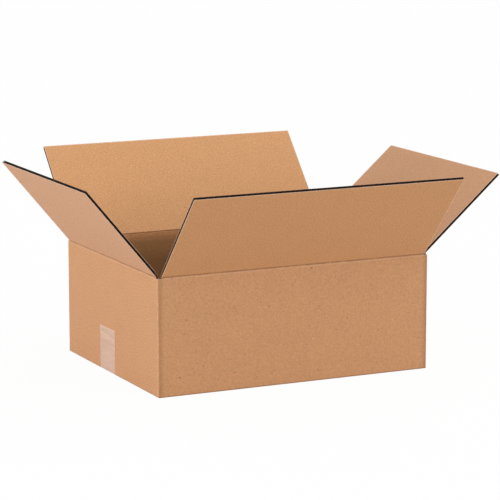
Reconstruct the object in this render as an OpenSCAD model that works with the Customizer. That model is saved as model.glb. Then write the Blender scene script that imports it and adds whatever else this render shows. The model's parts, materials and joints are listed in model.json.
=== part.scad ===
// Open cardboard carton: one folded corrugated sheet with four hinged top flaps and a taped bottom.
// Millimetres. The origin is on the floor under the middle of the carton, +X along its length.
// The front long wall faces -Y, and the flaps stand open at the lean angles below.

/* [Carton] */
// Length of the carton over its two end walls
carton_l = 400; // [330:1:600]
// Width of the carton over its two long walls
carton_w = 313; // [200:1:320]
// Height above the floor of the score lines on which all four top flaps turn
score_h = 160; // [90:0.5:400]
// Outside radius of the carton's folded edges
fold_r = 2.5; // [1:0.1:3.5]

/* [Board] */
// Thickness of the corrugated board
board_t = 3.8; // [3:0.1:4.5]
// Thickness of one flat liner
liner_t = 0.35; // [0.2:0.05:0.6]
// Thickness of the wavy medium between the liners
medium_t = 0.25; // [0.15:0.05:0.4]
// Width of one wave of the medium, which is one flute
flute_pitch = 7.6; // [6:0.1:10]
// Width of the glue line that holds a crest of the medium to its liner
glue_line = 0.8; // [0.4:0.1:1.6]
// Length beside a score line where the flutes are crushed shut
crushed_l = 6; // [4:0.5:15]
// Depth to which the flutes are open in the tips of the bottom end flaps
tip_open_l = 12; // [4:1:40]

/* [Flaps] */
// Gap left between two long flaps when they lie closed
meeting_gap = 2; // [1:0.5:12]
// How much shorter an end flap is than a long flap
end_flap_trim = 4; // [0:0.5:20]
// Distance from a corner of the carton to the side edge of a flap
slot_inset = 5.5; // [4.5:0.1:8]
// Depth of the corner slots below the score lines
slot_drop = 2; // [0.5:0.1:3]
// Clearance between a closed end flap and the long flap above it
closing_gap = 0.15; // [0.1:0.05:1]
// Clearance angle of each mitred edge along a score line
mitre_clear = 1; // [0.5:0.5:5]
// Angle at which the front flap leans outwards from upright
front_lean = 41.5; // [0:0.5:120]
// Angle at which the back flap leans outwards from upright
back_lean = 42; // [0:0.5:120]
// Angle at which the left flap leans outwards from upright
left_lean = 40; // [0:0.5:90]
// Angle at which the right flap leans outwards from upright
right_lean = 49; // [0:0.5:90]

/* [Glue tab] */
// Width of the glued joint's tab inside the back wall
tab_w = 35; // [25:1:45]
// Thickness of the tab, whose flutes are pressed down
tab_t = 2.8; // [1.5:0.1:3.5]
// Distance from the tab's ends to the folded end flaps below and above it
tab_end_gap = 5; // [2:0.5:15]
// Slant of the tab's ends over its width
tab_slant = 8; // [2:0.5:15]

/* [Tape] */
// Width of the closing tape
tape_w = 50; // [36:1:75]
// Thickness of the tape, which is pressed flush into the board
tape_t = 0.06; // [0.04:0.01:0.2]
// Distance of the tape's middle behind the bottom seam
tape_offset = 15; // [-20:1:20]
// Height to which the tape is turned up on each end wall
tape_rise = 61; // [30:1:85]

/* [Hidden] */
$fn = 48;
kraft = [0.80, 0.62, 0.47];
kraft_inside = [0.83, 0.62, 0.44];
tape_tint = [0.84, 0.71, 0.61];
slot_floor_h = score_h - slot_drop;
// Depth below the score lines at which the top of a closed end flap lies, under the long flaps
tuck = board_t + closing_gap;
long_flap_l = (carton_w - meeting_gap) / 2;
end_flap_l = long_flap_l - end_flap_trim;
long_flap_w = carton_l - 2 * slot_inset;
end_flap_w = carton_w - 2 * slot_inset;
inner_l = carton_l - 2 * board_t;
inner_w = carton_w - 2 * board_t;
mitre = tan(45 + mitre_clear);
// Overshoot of a cut past the faces that it opens
past = 1;
// Shape of the medium's wave, measured across the board
wave_core = board_t / 2 - liner_t;
wave_slope = 360 / flute_pitch * wave_core * PI / 180;
wave_cut = medium_t * sqrt(1 + wave_slope * wave_slope);
wave_rise = wave_core - wave_cut / 2;
wave_steps = 4;

// Flat shapes

module rounded_rect(l, w, r) {
    square([l - 2 * r, w], center = true);
    square([l, w - 2 * r], center = true);
    for (x = [-1, 1], y = [-1, 1])
        translate([x * (l / 2 - r), y * (w / 2 - r)]) circle(r);
}

// Upright outline that stands on y = 0 with its two lower corners rounded
module foot_outline(l, h, r) {
    translate([-l / 2 + r, 0]) square([l - 2 * r, h]);
    translate([-l / 2, r]) square([l, h - r]);
    for (x = [-1, 1]) translate([x * (l / 2 - r), r]) circle(r);
}

// Outline in Y and Z, drawn out along X about the middle
module along_x(length) {
    rotate([90, 0, 90]) linear_extrude(length, center = true) children();
}

// Outline in X and Z, drawn out along Y about the middle
module along_y(length) {
    rotate([90, 0, 0]) linear_extrude(length, center = true) children();
}

// Box that is centred in X and Y, from height z0 to height z1
module centred_box(l, w, z0, z1) {
    translate([-l / 2, -w / 2, z0]) cube([l, w, z1 - z0]);
}

// Flutes

// Hollow between one liner and a trough of the medium, for a liner at y = liner_t
function hollow_outline(pitch) =
    let (half = (pitch - glue_line) / 2)
    [
        for (i = [0 : wave_steps])
            let (x = half * (2 * i / wave_steps - 1))
            i == 0 || i == wave_steps
                ? [x, liner_t]
                : [x, board_t / 2 + wave_rise * cos(360 * x / pitch) - wave_cut / 2]
    ];

// Number of whole flutes across a flap, which is cut at a mid-crossing of the medium on both sides
function flute_count(width) = round(width / flute_pitch);

// One hollow of an upright flap, from height low to height high
// Even ones lie against the outer liner and odd ones against the inner, and 0 straddles the side edge
module flute_hollow(width, k, low, high) {
    pitch = width / flute_count(width);
    translate([-width / 2 - pitch / 4 + k * pitch / 2, k % 2 * board_t, low])
        linear_extrude(high - low) mirror([0, k % 2]) polygon(hollow_outline(pitch));
}

// Carton

module outer_block() {
    intersection() {
        linear_extrude(slot_floor_h) rounded_rect(carton_l, carton_w, fold_r);
        along_x(carton_l) foot_outline(carton_w, slot_floor_h, fold_r);
        along_y(carton_w) foot_outline(carton_l, slot_floor_h, fold_r);
    }
}

// Walls between the corner slots, up to their score lines
module wall_tops() {
    centred_box(long_flap_w, carton_w, slot_floor_h - past, score_h);
    centred_box(carton_l, end_flap_w, slot_floor_h - past, score_h);
}

// Depth of an end flap's hinge axis below its score line, on the wall's outer face
// About that axis the flap closes to the tucked depth, and hangs clear of the wall when folded right out
function hinge_drop(lean) = tuck / (1 + sin(lean));

// Distance of a closed end flap's root from the wall's outer face
function closed_inset(lean) = hinge_drop(lean) * cos(lean);

// Cut that mitres the inner side of a wall's top, for a wall whose outer face is at y = 0
// The mitre starts at the given inset and depth, which are those of the flap's root when it is closed
module top_mitre(width, inset = 0, depth = 0) {
    reach = 2 * board_t;
    along_x(width) translate([0, score_h]) polygon([
        [0, 0],
        [inset, -depth],
        [reach, -depth - (reach - inset) * mitre],
        [reach, past],
        [0, past]
    ]);
}

// Top of an end wall, lower inside than a long wall's by the tucked depth
module end_mitre(lean) {
    translate([0, -carton_l / 2, 0]) top_mitre(end_flap_w, closed_inset(lean), tuck + closing_gap);
}

// Hollow above the closed bottom, whose long flaps lie below its end flaps
module inside_space() {
    centred_box(inner_l, inner_w, 2 * board_t, score_h + past);
    centred_box(carton_l - 2 * end_flap_l, inner_w, board_t, 3 * board_t);
}

// Gaps beside the bottom flaps, and the seam where the long ones meet
module bottom_gaps() {
    side_gap = slot_inset - board_t;
    for (x = [-1, 1], y = [-1, 1])
        translate([x * (carton_l - end_flap_l - board_t) / 2, y * (inner_w - side_gap) / 2, 0])
            centred_box(end_flap_l - board_t, side_gap, board_t, 2 * board_t + past);
    for (x = [-1, 1])
        translate([x * (inner_l - side_gap) / 2, 0, 0])
            centred_box(side_gap, inner_w, -past, board_t);
    centred_box(long_flap_w, meeting_gap, -past, board_t);
}

// Open flute ends in the tips of the bottom end flaps, which face each other across the inside
module bottom_flap_hollows() {
    for (turn = [0, 180])
        rotate([0, 0, turn]) translate([-carton_l / 2, 0, board_t]) rotate([90, 0, 90])
            for (k = [2 : 2 * flute_count(end_flap_w) - 1])
                flute_hollow(end_flap_w, k, end_flap_l - tip_open_l, end_flap_l + past);
}

module glue_tab() {
    low = 2 * board_t + tab_end_gap;
    high = score_h - tuck - board_t - tab_end_gap;
    corner_x = inner_l / 2;
    translate([0, (inner_w - tab_t) / 2, 0]) along_y(tab_t) polygon([
        [corner_x, low],
        [corner_x, high],
        [corner_x - tab_w, high - tab_slant],
        [corner_x - tab_w, low + tab_slant]
    ]);
}

module carton() {
    color(kraft) union() {
        difference() {
            union() {
                outer_block();
                wall_tops();
            }
            inside_space();
            bottom_gaps();
            bottom_flap_hollows();
            for (turn = [0, 180])
                rotate([0, 0, turn]) translate([0, -carton_w / 2, 0]) top_mitre(long_flap_w);
            rotate([0, 0, -90]) end_mitre(left_lean);
            rotate([0, 0, 90]) end_mitre(right_lean);
            tape_strip();
        }
        glue_tab();
    }
}

// Flaps

// Upright flap with its score line on the X axis and its outer face at y = 0
module flap(width, length) {
    difference() {
        along_x(width) polygon([[0, 0], [board_t, board_t * mitre], [board_t, length], [0, length]]);
        for (k = [0 : 2 * flute_count(width) + 1]) flute_hollow(width, k, crushed_l, length + past);
    }
}

module front_flap() {
    color(kraft) translate([0, -carton_w / 2, score_h])
        rotate([front_lean, 0, 0]) flap(long_flap_w, long_flap_l);
}

module back_flap() {
    color(kraft_inside) rotate([0, 0, 180]) translate([0, -carton_w / 2, score_h])
        rotate([back_lean, 0, 0]) flap(long_flap_w, long_flap_l);
}

module left_flap() {
    color(kraft) rotate([0, 0, -90]) translate([0, -carton_l / 2, score_h])
        rotate([left_lean, 0, 0]) flap(end_flap_w, end_flap_l);
}

module right_flap() {
    color(kraft_inside) rotate([0, 0, 90]) translate([0, -carton_l / 2, score_h])
        rotate([right_lean, 0, 0]) flap(end_flap_w, end_flap_l);
}

// Tape

// Strip under the bottom and up both ends, with its outer face flush with the carton
module tape_strip() {
    translate([0, tape_offset, 0]) along_y(tape_w) difference() {
        foot_outline(carton_l, tape_rise, fold_r);
        translate([0, tape_t]) foot_outline(carton_l - 2 * tape_t, tape_rise, fold_r - tape_t);
    }
}

module bottom_tape() {
    color(tape_tint) tape_strip();
}

carton();
front_flap();
back_flap();
left_flap();
right_flap();
bottom_tape();
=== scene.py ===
import json
import math

import bmesh
import bpy
from mathutils import Matrix, Vector


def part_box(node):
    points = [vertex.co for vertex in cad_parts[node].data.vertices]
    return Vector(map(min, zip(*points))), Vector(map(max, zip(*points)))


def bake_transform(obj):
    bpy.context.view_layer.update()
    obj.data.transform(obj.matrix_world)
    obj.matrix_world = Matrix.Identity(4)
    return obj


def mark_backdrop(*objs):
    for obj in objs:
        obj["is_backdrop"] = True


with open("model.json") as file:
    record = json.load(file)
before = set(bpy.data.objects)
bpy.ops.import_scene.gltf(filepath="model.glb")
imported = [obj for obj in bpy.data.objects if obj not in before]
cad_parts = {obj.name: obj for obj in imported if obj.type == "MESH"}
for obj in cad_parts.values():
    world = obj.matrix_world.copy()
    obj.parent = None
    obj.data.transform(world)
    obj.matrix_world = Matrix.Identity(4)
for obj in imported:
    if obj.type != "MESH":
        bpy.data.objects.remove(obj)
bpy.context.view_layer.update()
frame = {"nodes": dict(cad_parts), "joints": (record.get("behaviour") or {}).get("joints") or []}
scene = bpy.context.scene
scene.view_settings.view_transform = "Standard"
nodes = frame["nodes"]
joints = {j["name"]: j for j in frame["joints"]}
print("frame loaded:", len(nodes), "nodes")


def fromSrgb(r, g, b):
    # 0-255 as seen on screen, to the linear colour a shader wants
    def channel(v):
        v = v / 255
        return v / 12.92 if v <= 0.04045 else ((v + 0.055) / 1.055) ** 2.4
    return (channel(r), channel(g), channel(b), 1.0)


# the board that everything is folded from
board = {
    "thick": 0.0038,
    "liner": 0.00035,
    "pitch": 0.0076,  # one flute
    "outside": fromSrgb(201, 149, 106),
    "inside": fromSrgb(214, 160, 111),
    "wallTop": fromSrgb(202, 150, 104),  # liner on the walls inside, just below the score line, where the painted shade starts
    "wallShadedMiddle": fromSrgb(160, 118, 75),  # painted shade, darker further down
    "wallShadedLow": fromSrgb(139, 102, 63),
    "wallShade": 0.015,  # how far down the middle colour starts
    "wallFade": 0.045,  # and the low one
    "core": fromSrgb(96, 63, 40),  # wavy medium in the cut edges, darkened as painted shade
    "paintedHighlight": fromSrgb(240, 204, 176),  # painted highlight where the board was cut or bent
    # painted shade along the score line, beside the folds and along the bottom edges
    "score": fromSrgb(150, 100, 64),
    "fleck": fromSrgb(96, 58, 34),
    "linerBlend": (0.8, 1.6),  # where a liner gives way to the core, in liner thicknesses from its face
    "innerBlend": (-0.6, 0.2),  # and where the carton's inside starts, from the inner liner's back
    "roughness": 0.72,
    "specular": 0.3,
    "sheen": 0.14,
    "sheenRoughness": 0.4,
}

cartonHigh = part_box("carton")[1]
scoreHeight = cartonHigh.z
halfLength = cartonHigh.x
halfWidth = cartonHigh.y
foldRadius = 0.0025  # outside radius of the carton's folded edges

flaps = {
    "front": {"turn": 0, "half": halfWidth, "grain": 1.5},  # grain is how coarse its paper looks
    "back": {"turn": 180, "half": halfWidth, "grain": 1.6},
    "left": {"turn": -90, "half": halfLength, "grain": 2.6},
    "right": {"turn": 90, "half": halfLength, "grain": 1.7},
}
flaps["front"]["outside"] = fromSrgb(206, 150, 101)  # liners tinted per flap: painted light, shade and sheen for how each flap is lit
flaps["left"]["outside"] = fromSrgb(201, 150, 110)
flaps["right"]["inside"] = fromSrgb(206, 157, 118)
for name, flap in flaps.items():
    flap.setdefault("outside", board["outside"])
    flap.setdefault("inside", board["inside"])
    joint = joints[name + "_fold"]
    flap["lean"] = -joint["range_deg"][0] - 90  # the closed end of the joint's range gives the lean
    flap["node"] = name + "_flap"
    # from the flap's own space (X along the score line, Y into the board, Z up the flap) to the frame
    flap["wall"] = Matrix.Rotation(math.radians(flap["turn"]), 4, "Z") @ Matrix.Translation(
        (0, -flap["half"], scoreHeight)
    )
    flap["place"] = flap["wall"] @ Matrix.Rotation(math.radians(flap["lean"]), 4, "X")
    toFlap = flap["place"].inverted()
    inOwnSpace = [toFlap @ v.co for v in nodes[flap["node"]].data.vertices]
    flap["span"] = 2 * max(p.x for p in inOwnSpace)
    flap["reach"] = max(p.z for p in inOwnSpace)


class Shader:
    # short ways to add and join nodes in one material
    def __init__(self, name):
        self.material = bpy.data.materials.new(name)
        self.material.use_nodes = True
        self.tree = self.material.node_tree
        self.surface = self.tree.nodes["Principled BSDF"]
        self.output = self.tree.nodes["Material Output"]

    def add(self, kind, **settings):
        node = self.tree.nodes.new(kind)
        for key, value in settings.items():
            setattr(node, key, value)
        return node

    def link(self, source, target):
        self.tree.links.new(source, target)

    def feed(self, socket, value):
        # a socket to link, or a plain number or colour to set
        if isinstance(value, bpy.types.NodeSocket):
            self.link(value, socket)
        else:
            socket.default_value = value

    def math(self, operation, a, b=0.0):
        node = self.add("ShaderNodeMath", operation=operation)
        self.feed(node.inputs[0], a)
        self.feed(node.inputs[1], b)
        return node.outputs[0]

    def ramp(self, value, low, high, toLow=0.0, toHigh=1.0, kind="SMOOTHSTEP"):
        node = self.add("ShaderNodeMapRange", interpolation_type=kind)
        self.feed(node.inputs["Value"], value)
        for key, end in (("From Min", low), ("From Max", high), ("To Min", toLow), ("To Max", toHigh)):
            self.feed(node.inputs[key], end)
        return node.outputs["Result"]

    def mix(self, factor, a, b):
        node = self.add("ShaderNodeMix", data_type="RGBA")
        colourA, colourB = [s for s in node.inputs if s.type == "RGBA"]
        self.feed(node.inputs[0], factor)
        self.feed(colourA, a)
        self.feed(colourB, b)
        return [s for s in node.outputs if s.type == "RGBA"][0]

    def noise(self, vector, scale, detail, roughness):
        node = self.add("ShaderNodeTexNoise")
        self.link(vector, node.inputs["Vector"])
        node.inputs["Scale"].default_value = scale
        node.inputs["Detail"].default_value = detail
        node.inputs["Roughness"].default_value = roughness
        return node.outputs["Fac"]

    def split(self, vector):
        node = self.add("ShaderNodeSeparateXYZ")
        self.link(vector, node.inputs[0])
        return node.outputs

    def attribute(self, name):
        return self.add("ShaderNodeAttribute", attribute_name=name).outputs["Fac"]

    def placed(self, place=None):
        # Object coordinates, turned into the space whose place is given
        source = self.add("ShaderNodeTexCoord").outputs["Object"]
        if place is None:
            return source
        node = self.add("ShaderNodeMapping", vector_type="TEXTURE")
        node.inputs["Location"].default_value = place.translation
        node.inputs["Rotation"].default_value = place.to_euler()
        self.link(source, node.inputs["Vector"])
        return node.outputs["Vector"]

    def stretched(self, vector, scale):
        node = self.add("ShaderNodeMapping")
        node.inputs["Scale"].default_value = scale
        self.link(vector, node.inputs["Vector"])
        return node.outputs["Vector"]


# a noise is given as its scale, detail and roughness
paper = {
    "mottle": (34, 3.0, 0.55),  # soft clouds in the pulp, a few centimetres across
    "mottleDepth": 0.045,
    "fibre": (1100, 3.0, 0.65),
    "fibreStretch": (0.3, 1.0, 1.0),
    "fibreDepth": 0.16,
    "grain": (520, 2.0, 0.6),
    "grainDepth": 0.30,
    "fleck": (240, 1.0, 0.4),
    "fleckRarity": 0.765,  # noise above this is a dark fleck
    "fleckSoft": 0.04,
    "fleckDepth": 0.55,
    "washDepth": 0.002,  # painted light and shade over one flute, from its rib
    "washBump": 0.000012,
    "fibreBump": 0.00003,
    "bumpStrength": 0.6,
}


def swing(shader, noise, depth):
    # noise as a swing of that depth to either side of nothing
    return shader.math("MULTIPLY", shader.math("SUBTRACT", noise, 0.5), 2 * depth)


def paperColour(shader, vector, colour, fluteAcross, coarse):
    # kraft pulp over a plain colour: clouds, fibres, flecks, and the faint ribs of the flutes as painted
    # light and shade
    clouds = swing(shader, shader.noise(vector, *paper["mottle"]), paper["mottleDepth"])
    grain = swing(shader, shader.noise(vector, *paper["grain"]), paper["grainDepth"])
    fibres = shader.noise(shader.stretched(vector, paper["fibreStretch"]), *paper["fibre"])
    fine = shader.math("ADD", swing(shader, fibres, paper["fibreDepth"]), grain)
    tone = shader.math("ADD", clouds, shader.math("MULTIPLY", fine, coarse))
    turns = shader.math("MULTIPLY", fluteAcross, 2 * math.pi / board["pitch"])
    rib = shader.math("SINE", turns)
    tone = shader.math("ADD", tone, shader.math("MULTIPLY", rib, paper["washDepth"]))
    bright = shader.math("ADD", tone, 1.0)
    scaled = shader.add("ShaderNodeVectorMath", operation="SCALE")
    shader.feed(scaled.inputs[0], colour)
    shader.link(bright, scaled.inputs["Scale"])
    spots = shader.noise(vector, *paper["fleck"])
    fullFleck = paper["fleckRarity"] + paper["fleckSoft"]
    flecks = shader.ramp(spots, paper["fleckRarity"], fullFleck, 0.0, paper["fleckDepth"])
    toned = shader.mix(flecks, scaled.outputs[0], board["fleck"])
    bump = shader.add("ShaderNodeBump")
    bump.inputs["Strength"].default_value = paper["bumpStrength"]
    bump.inputs["Distance"].default_value = 1.0
    height = shader.math("MULTIPLY", rib, paper["washBump"])
    height = shader.math("ADD", height, shader.math("MULTIPLY", fibres, paper["fibreBump"]))
    shader.link(height, bump.inputs["Height"])
    return toned, bump.outputs["Normal"]


def finishPaper(shader, colour, normal):
    surface = shader.surface
    shader.link(colour, surface.inputs["Base Color"])
    shader.link(normal, surface.inputs["Normal"])
    surface.inputs["Roughness"].default_value = board["roughness"]
    surface.inputs["Specular IOR Level"].default_value = board["specular"]
    surface.inputs["Sheen Weight"].default_value = board["sheen"]
    surface.inputs["Sheen Roughness"].default_value = board["sheenRoughness"]
    return shader.material


def layered(shader, depth, outside, inside):
    # outer liner, raw core and inner liner, by the depth into the board
    near, far = [board["liner"] * share for share in board["linerBlend"]]
    toCore = shader.ramp(depth, near, far)
    toInner = shader.ramp(depth, board["thick"] - far, board["thick"] - near)
    colour = shader.mix(toCore, outside, board["core"])
    return shader.mix(toInner, colour, inside)


scoreLine = {
    "half": 0.0006,
    "soft": 0.0011,
    "depth": 0.8,
    "patches": (90, 2.0, 0.5),  # the painted shade is patchy along the line, as the press didn't bite evenly
    "patchFrom": 0.25,
    "patchFull": 0.6,
    "patchLeast": 0.45,
    "glow": 0.0042,  # painted highlight in a band on the wall below the line
    "glowDepth": 0.13,
}


def scored(shader, colour, distance, vector):
    # painted shade along a crease, at distance 0, with the painted highlight band below it
    spots = shader.noise(vector, *scoreLine["patches"])
    patches = shader.ramp(spots, scoreLine["patchFrom"], scoreLine["patchFull"], scoreLine["patchLeast"])
    middle = shader.math("ADD", distance, scoreLine["glow"] / 2)
    band = shader.ramp(middle, 0.0, scoreLine["glow"] / 2, scoreLine["glowDepth"], 0.0)
    below = shader.ramp(distance, -scoreLine["glow"], -scoreLine["glow"] / 2)
    colour = shader.mix(shader.math("MULTIPLY", band, below), colour, board["paintedHighlight"])
    edge = scoreLine["half"] + scoreLine["soft"]
    near = shader.ramp(shader.math("ABSOLUTE", distance), scoreLine["half"], edge, scoreLine["depth"], 0.0)
    return shader.mix(shader.math("MULTIPLY", near, patches), colour, board["score"])


cutRim = {"width": 0.0005, "soft": 0.0010, "depth": 0.8, "sideNarrow": 1.7}  # narrower beside a side cut


def rimmed(shader, colour, inset):
    # painted highlight beside a cut edge, whose distance from it is inset
    near = shader.ramp(inset, cutRim["width"], cutRim["width"] + cutRim["soft"], cutRim["depth"], 0.0)
    return shader.mix(near, colour, board["paintedHighlight"])


hollow = {
    "cut": fromSrgb(56, 34, 20),  # cut face of the wavy medium, painted dark as shade
    "tipShade": 0.8,  # how much of that painted shade lies on the liners' own cut along the tip
    # painted shade inside the flutes, at their mouth and deep in
    "mouth": fromSrgb(26, 14, 8),
    "deep": fromSrgb(4, 2, 1),
    "cutSkin": 0.00004,  # how near to the cut a surface still is the cut itself
    "tipReach": 0.0012,  # how far light gets into a flute from the tip
    "sideReach": 0.0008,  # and into the groove along a side edge
    "linerBack": 0.9,  # share of a liner's thickness past which the hollow's colour starts
}


def hollowColour(shader, fromTip, fromSide):
    # painted shade inside the flutes: dark at the cut, darker a little way in
    fromMouth = shader.math("MINIMUM", fromTip, fromSide)
    lit = shader.math(
        "MAXIMUM",
        shader.ramp(fromTip, 0.0, hollow["tipReach"], 1.0, 0.0),
        shader.ramp(fromSide, 0.0, hollow["sideReach"], 1.0, 0.0),
    )
    inside = shader.mix(lit, hollow["deep"], hollow["mouth"])
    return shader.mix(shader.math("LESS_THAN", fromMouth, hollow["cutSkin"]), inside, hollow["cut"])


def flapMaterial(name, flap):
    shader = Shader(name + "FlapBoard")
    vector = shader.placed(flap["place"])
    along, depth, rise = shader.split(vector)
    fromSide = shader.math("SUBTRACT", flap["span"] / 2, shader.math("ABSOLUTE", along))
    fromTip = shader.math("SUBTRACT", flap["reach"], rise)
    skin = board["liner"] * hollow["linerBack"]
    outer = shader.math("LESS_THAN", depth, skin)
    onLiner = shader.math("MAXIMUM", outer, shader.math("GREATER_THAN", depth, board["thick"] - skin))
    liners = layered(shader, depth, flap["outside"], flap["inside"])
    colour = scored(shader, liners, rise, vector)
    fromCut = shader.math("MINIMUM", shader.math("MULTIPLY", fromSide, cutRim["sideNarrow"]), fromTip)
    edged = rimmed(shader, colour, fromCut)
    onTip = shader.math("LESS_THAN", fromTip, hollow["cutSkin"])
    edged = shader.mix(shader.math("MULTIPLY", onTip, hollow["tipShade"]), edged, hollow["cut"])
    colour = shader.mix(onLiner, hollowColour(shader, fromTip, fromSide), edged)
    colour, normal = paperColour(shader, vector, colour, along, flap["grain"])
    return finishPaper(shader, colour, normal)


fold = {
    "stretched": 0.0065,  # painted highlight in a band on an end wall beside its folds
    "foldHighlightDepth": 0.08,
    "pressed": 0.010,  # painted shade in a band on a long wall beside them
    "pressedDepth": 0.5,
    "bottomShade": 0.0022,  # painted shade in a line along the bottom edges, where they meet the floor
    "bottomShadeCore": 0.3,  # share of it that is darkest
    "bottomShadeDepth": 0.7,
    "endGrain": 1.9,  # the end walls' paper looks coarser than the long walls'
}


def folded(shader, colour, fromEnd, fromLong, z):
    # painted highlight and shade beside the upright folds, painted shade along the bottom edges
    onEnd = shader.math("LESS_THAN", fromEnd, fromLong)
    pale = shader.ramp(fromLong, 0.0, fold["stretched"], fold["foldHighlightDepth"], 0.0)
    colour = shader.mix(shader.math("MULTIPLY", pale, onEnd), colour, board["paintedHighlight"])
    dark = shader.ramp(fromEnd, 0.0, fold["pressed"], fold["pressedDepth"], 0.0)
    onLong = shader.math("SUBTRACT", 1.0, onEnd)
    colour = shader.mix(shader.math("MULTIPLY", dark, onLong), colour, board["score"])
    bottomShade = shader.ramp(z, fold["bottomShade"] * fold["bottomShadeCore"], fold["bottomShade"], fold["bottomShadeDepth"], 0.0)
    return shader.mix(bottomShade, colour, board["score"])


def shadedWallColour(shader, down):
    # liner inside the carton, with painted shade that grows darker further down from the score line
    colour = shader.mix(shader.ramp(down, 0.0, board["wallShade"]), board["wallTop"], board["wallShadedMiddle"])
    return shader.mix(shader.ramp(down, board["wallShade"], board["wallFade"]), colour, board["wallShadedLow"])


def roundedDepth(shader, insets):
    # depth below the carton's rounded outer skin, from the distances to its flat faces
    inCorner = [shader.math("MAXIMUM", shader.math("SUBTRACT", foldRadius, inset), 0.0) for inset in insets]
    corner = shader.add("ShaderNodeCombineXYZ")
    for socket, value in zip(corner.inputs, inCorner):
        shader.link(value, socket)
    length = shader.add("ShaderNodeVectorMath", operation="LENGTH")
    shader.link(corner.outputs[0], length.inputs[0])
    flat = shader.math("MINIMUM", shader.math("MINIMUM", insets[0], insets[1]), insets[2])
    past = shader.math("MAXIMUM", shader.math("SUBTRACT", flat, foldRadius), 0.0)
    return shader.math("ADD", shader.math("SUBTRACT", foldRadius, length.outputs["Value"]), past)


def cartonMaterial():
    shader = Shader("cartonBoard")
    vector = shader.placed()
    x, y, z = shader.split(vector)
    fromEnd = shader.math("SUBTRACT", halfLength, shader.math("ABSOLUTE", x))
    fromLong = shader.math("SUBTRACT", halfWidth, shader.math("ABSOLUTE", y))
    depth = roundedDepth(shader, (fromEnd, fromLong, z))
    onEnd = shader.math("LESS_THAN", fromEnd, fromLong)
    across = shader.add("ShaderNodeMix", data_type="FLOAT")
    shader.link(onEnd, across.inputs["Factor"])
    shader.link(x, across.inputs["A"])
    shader.link(y, across.inputs["B"])
    inner = board["thick"] - board["liner"]
    liners = layered(shader, depth, board["outside"], board["inside"])
    outsideColour = scored(shader, liners, shader.math("SUBTRACT", z, scoreHeight), vector)
    outsideColour = folded(shader, outsideColour, fromEnd, fromLong, z)
    isInside = shader.ramp(depth, *[inner + board["liner"] * share for share in board["innerBlend"]])
    insideColour = shadedWallColour(shader, shader.math("SUBTRACT", scoreHeight, z))
    colour = shader.mix(isInside, outsideColour, insideColour)
    coarse = shader.math("ADD", 1.0, shader.math("MULTIPLY", onEnd, fold["endGrain"] - 1))
    colour, normal = paperColour(shader, vector, colour, across.outputs["Result"], coarse)
    return finishPaper(shader, colour, normal)


tape = {
    "film": fromSrgb(250, 212, 186),
    "border": fromSrgb(255, 228, 206),  # where the film's cut edge catches the light
    "borderWidth": 0.0016,
    "borderCore": 0.4,  # share of it that is palest
    "alpha": 0.64,
    "roughness": 0.32,
    "streaks": (160, 3.0, 0.6),
    "streakStretch": (1.0, 0.12, 1.0),
    "streakFrom": 0.3,
    "streakFull": 0.7,
    "streakDepth": 0.06,
}


def tapeMaterial():
    # clear film that has gone slightly milky, faintly ribbed across its width
    shader = Shader("frostedFilm")
    vector = shader.placed()
    streaks = shader.noise(shader.stretched(vector, tape["streakStretch"]), *tape["streaks"])
    inFrame = shader.split(vector)
    tapeLow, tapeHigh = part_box("bottom_tape")
    fromFront = shader.math("SUBTRACT", inFrame["Y"], tapeLow.y)
    fromBack = shader.math("SUBTRACT", tapeHigh.y, inFrame["Y"])
    fromTop = shader.math("SUBTRACT", tapeHigh.z, inFrame["Z"])
    fromEdge = shader.math("MINIMUM", shader.math("MINIMUM", fromFront, fromBack), fromTop)
    onBorder = shader.ramp(fromEdge, tape["borderWidth"] * tape["borderCore"], tape["borderWidth"], 1.0, 0.0)
    surface = shader.surface
    shader.link(shader.mix(onBorder, tape["film"], tape["border"]), surface.inputs["Base Color"])
    clearest, milkiest = tape["alpha"] - tape["streakDepth"], tape["alpha"] + tape["streakDepth"]
    cloudy = shader.ramp(streaks, tape["streakFrom"], tape["streakFull"], clearest, milkiest)
    shader.link(cloudy, surface.inputs["Alpha"])
    surface.inputs["Roughness"].default_value = tape["roughness"]
    return shader.material


def dress(node, material):
    mesh = nodes[node].data
    mesh.materials.clear()
    mesh.materials.append(material)


dress("carton", cartonMaterial())
for name, flap in flaps.items():
    dress(flap["node"], flapMaterial(name, flap))
dress("bottom_tape", tapeMaterial())
print("board and tape finished")


crease = {
    "lap": 0.0022,  # how far the liner runs on over the wall and the flap
    "proud": 0.00006,
    "skin": 0.0003,
    "grooveHalf": 0.0011,
    "grooveDepth": 0.0015,
    "lipShare": 0.6,  # how far from each lip to its bottom the groove's side bends
    "steps": 8,  # along each flat side of the fold
    "clear": 0.0006,  # kept free at both ends of the score line
    "onFace": 1e-5,  # a solid's vertex as near as this to a face lies on it
    "onEnd": 1e-4,  # and as near as this to a flap's side lies there
    "line": fromSrgb(64, 36, 19),  # painted shade in the groove
    "pressedFrom": 0.0003,  # how far into the board the painted shade starts
    "pressedFull": 0.0013,
}


def rootEdges(flap):
    # inner edges of the wall's top and of the flap's root, in the wall's space, read from the solids
    toWall = flap["wall"].inverted()
    inFrame = [toWall @ v.co for v in nodes["carton"].data.vertices]
    reach = flap["span"] / 2
    onInside = [p for p in inFrame if abs(p.y - board["thick"]) < crease["onFace"]]
    atEnds = [p for p in onInside if abs(abs(p.x) - reach) < crease["onEnd"]]
    # the slots' floors lie above one board thickness down, and the mitred wall's top below it
    wallTop = max(p.z for p in atEnds if p.z < -board["thick"])
    toFlap = flap["place"].inverted()
    root = [toFlap @ v.co for v in nodes[flap["node"]].data.vertices]
    flapLow = min(p.z for p in root if abs(p.y - board["thick"]) < crease["onFace"])
    return wallTop, flapLow


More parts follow.
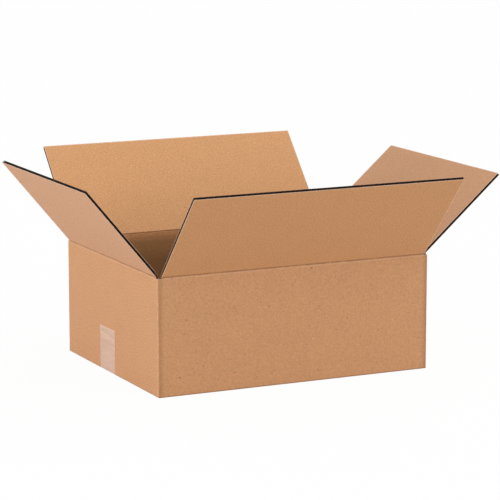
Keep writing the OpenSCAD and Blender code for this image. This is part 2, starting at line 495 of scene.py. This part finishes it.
def creaseOutline(flap):
    # inner liner round the fold, in the wall's own space as (into the board, up) from the score line
    lean = math.radians(flap["lean"])
    up = Vector((-math.sin(lean), math.cos(lean)))
    inward = Vector((math.cos(lean), math.sin(lean)))
    thick = board["thick"] + crease["proud"]
    wallTop, flapLow = rootEdges(flap)
    corner = Vector((thick, thick * math.tan(lean / 2)))  # where the two inner faces would meet
    wallEnd = Vector((thick, wallTop))
    flapEnd = up * flapLow + inward * thick
    half = crease["grooveHalf"]
    wallLip = corner - Vector((0, half))
    flapLip = corner + up * half
    bottom = corner - corner.normalized() * crease["grooveDepth"]
    points = [wallEnd - Vector((2 * crease["proud"], crease["lap"]))]  # runs out into the wall's own liner
    points += [wallEnd.lerp(wallLip, i / crease["steps"]) for i in range(crease["steps"] + 1)]
    points += [wallLip.lerp(bottom, crease["lipShare"]), bottom, flapLip.lerp(bottom, crease["lipShare"])]
    points += [flapLip.lerp(flapEnd, i / crease["steps"]) for i in range(crease["steps"] + 1)]
    points.append(flapEnd + up * crease["lap"] - inward * 2 * crease["proud"])
    return points, wallEnd, flapEnd


def markCrease(mesh, flap):
    # what the finish goes by, kept on each vertex of the strip
    toWall, toFlap = flap["wall"].inverted(), flap["place"].inverted()
    cornerRise = board["thick"] * math.tan(math.radians(flap["lean"]) / 2)
    marks = {"down": [], "onFlap": [], "pressed": []}
    for vertex in mesh.vertices:
        inWall, inFlap = toWall @ vertex.co, toFlap @ vertex.co
        sunk = board["thick"] - max(inWall.y, inFlap.y)
        share = (sunk - crease["pressedFrom"]) / (crease["pressedFull"] - crease["pressedFrom"])
        marks["down"].append(-inWall.z)
        marks["onFlap"].append(1.0 if inWall.z > cornerRise else 0.0)
        marks["pressed"].append(min(max(share, 0.0), 1.0))
    for key, values in marks.items():
        mesh.attributes.new(key, "FLOAT", "POINT").data.foreach_set("value", values)


def creaseStrip(name, flap):
    span = flap["span"] / 2 - crease["clear"]
    outline, wallEnd, flapEnd = creaseOutline(flap)
    bm = bmesh.new()
    chain = [bm.verts.new((-span, p.x, p.y)) for p in outline]
    edges = [bm.edges.new(pair) for pair in zip(chain, chain[1:])]
    made = bmesh.ops.extrude_edge_only(bm, edges=edges)
    moved = [v for v in made["geom"] if isinstance(v, bmesh.types.BMVert)]
    bmesh.ops.translate(bm, verts=moved, vec=(2 * span, 0, 0))
    bmesh.ops.transform(bm, matrix=flap["wall"], verts=bm.verts)
    bmesh.ops.recalc_face_normals(bm, faces=bm.faces)
    bmesh.ops.solidify(bm, geom=bm.faces, thickness=-crease["skin"])  # thickened into the board
    bmesh.ops.recalc_face_normals(bm, faces=bm.faces)
    mesh = bpy.data.meshes.new(name + "_crease")
    bm.to_mesh(mesh)
    bm.free()
    markCrease(mesh, flap)
    piece = bpy.data.objects.new(name + "_crease", mesh)
    scene.collection.objects.link(piece)
    mesh.materials.append(creaseMaterial(name, flap))
    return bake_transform(piece)


def creaseMaterial(name, flap):
    # the flap's liner above the groove, the wall liner with its painted shade below it, painted shade in the
    # groove
    shader = Shader(name + "CreaseBoard")
    vector = shader.placed(flap["wall"])
    along = shader.split(vector)[0]
    wall = shadedWallColour(shader, shader.attribute("down"))
    colour = shader.mix(shader.attribute("onFlap"), wall, flap["inside"])
    colour = shader.mix(shader.attribute("pressed"), colour, crease["line"])
    colour, normal = paperColour(shader, vector, colour, along, flap["grain"])
    return finishPaper(shader, colour, normal)


for name, flap in flaps.items():
    creaseStrip(name, flap)
print("creases made")


studio = {
    "floorSize": 12.0,
    "sky": 0.79,
    "fill": (0.85, -0.47, 0.0),  # the side that the sky is brighter on: right and front
    "keySize": 3.5,
    "keyPower": 300.0,
    "keyPlace": (-6.7, -0.6, 1.3),
    "floor": 0.82,
    "floorRoughness": 0.9,
    "floorGlow": 1.01,  # with the open floor's own light it comes to white
    "shadow": 0.05,  # how much of the floor's shadow the camera sees
}


def cameraRays(shader):
    # 1 for what the camera, a mirror or clear film sees directly
    rays = shader.add("ShaderNodeLightPath").outputs
    seen = shader.math("MAXIMUM", rays["Is Camera Ray"], rays["Is Glossy Ray"])
    return shader.math("MAXIMUM", seen, rays["Is Transmission Ray"])


def makeFloor():
    bm = bmesh.new()
    bmesh.ops.create_grid(bm, x_segments=1, y_segments=1, size=studio["floorSize"] / 2)
    mesh = bpy.data.meshes.new("floor")
    bm.to_mesh(mesh)
    bm.free()
    floor = bpy.data.objects.new("floor", mesh)
    scene.collection.objects.link(floor)
    shader = Shader("paleFloor")
    shader.surface.inputs["Base Color"].default_value = (studio["floor"], studio["floor"], studio["floor"], 1)
    shader.surface.inputs["Roughness"].default_value = studio["floorRoughness"]
    shader.surface.inputs["Specular IOR Level"].default_value = 0.0
    glow = shader.add("ShaderNodeEmission")
    glow.inputs["Strength"].default_value = studio["floorGlow"]
    blend = shader.add("ShaderNodeMixShader")
    shader.link(shader.math("MULTIPLY", cameraRays(shader), 1 - studio["shadow"]), blend.inputs[0])
    shader.link(shader.surface.outputs[0], blend.inputs[1])
    shader.link(glow.outputs[0], blend.inputs[2])
    shader.link(blend.outputs[0], shader.output.inputs["Surface"])
    mesh.materials.append(shader.material)
    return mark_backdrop(floor)


class SkyShader(Shader):
    # the same short ways, in the world's own tree
    def __init__(self, name):
        self.world = bpy.data.worlds.new(name)
        self.world.use_nodes = True
        self.tree = self.world.node_tree
        self.surface = self.tree.nodes["Background"]


def makeWorld():
    # white where the camera sees it, and for the light a soft sky that is brighter on one side
    shader = SkyShader("studio")
    towards = shader.add("ShaderNodeVectorMath", operation="DOT_PRODUCT")
    shader.link(shader.add("ShaderNodeTexCoord").outputs["Generated"], towards.inputs[0])
    towards.inputs[1].default_value = studio["fill"]
    sky = shader.ramp(towards.outputs["Value"], -1.0, 1.0, 0.0, 2 * studio["sky"], "LINEAR")
    level = shader.ramp(cameraRays(shader), 0.0, 1.0, sky, 1.0, "LINEAR")
    shader.surface.inputs["Color"].default_value = (1, 1, 1, 1)
    shader.link(level, shader.surface.inputs["Strength"])
    scene.world = shader.world


def makeKey():
    light = bpy.data.lights.new("key", "AREA")
    light.size = studio["keySize"]
    light.energy = studio["keyPower"]
    lamp = bpy.data.objects.new("key", light)
    scene.collection.objects.link(lamp)
    lamp.location = studio["keyPlace"]
    aim = Vector((0, 0, scoreHeight)) - lamp.location
    lamp.rotation_euler = aim.to_track_quat("-Z", "Y").to_euler()


view = {
    "yaw": 25.762,  # degrees from looking along +Y, towards +X
    "pitch": 10.43,  # degrees down
    "place": (-1.47472, -3.07155, 0.78191),
    "lens": 180.986,
    "sensor": 36,  # its width in millimetres, as the lens is
    "farthest": 50,  # metres, past which nothing is drawn
}


def makeCamera():
    camera = bpy.data.cameras.new("camera")
    camera.lens = view["lens"]
    camera.sensor_width = view["sensor"]
    camera.clip_end = view["farthest"]
    holder = bpy.data.objects.new("camera", camera)
    scene.collection.objects.link(holder)
    yaw, pitch = math.radians(view["yaw"]), math.radians(view["pitch"])
    forward = Vector((math.sin(yaw) * math.cos(pitch), math.cos(yaw) * math.cos(pitch), -math.sin(pitch)))
    holder.location = view["place"]
    holder.rotation_euler = forward.to_track_quat("-Z", "Y").to_euler()
    scene.camera = holder


makeFloor()
makeWorld()
makeKey()
makeCamera()
print("studio set")
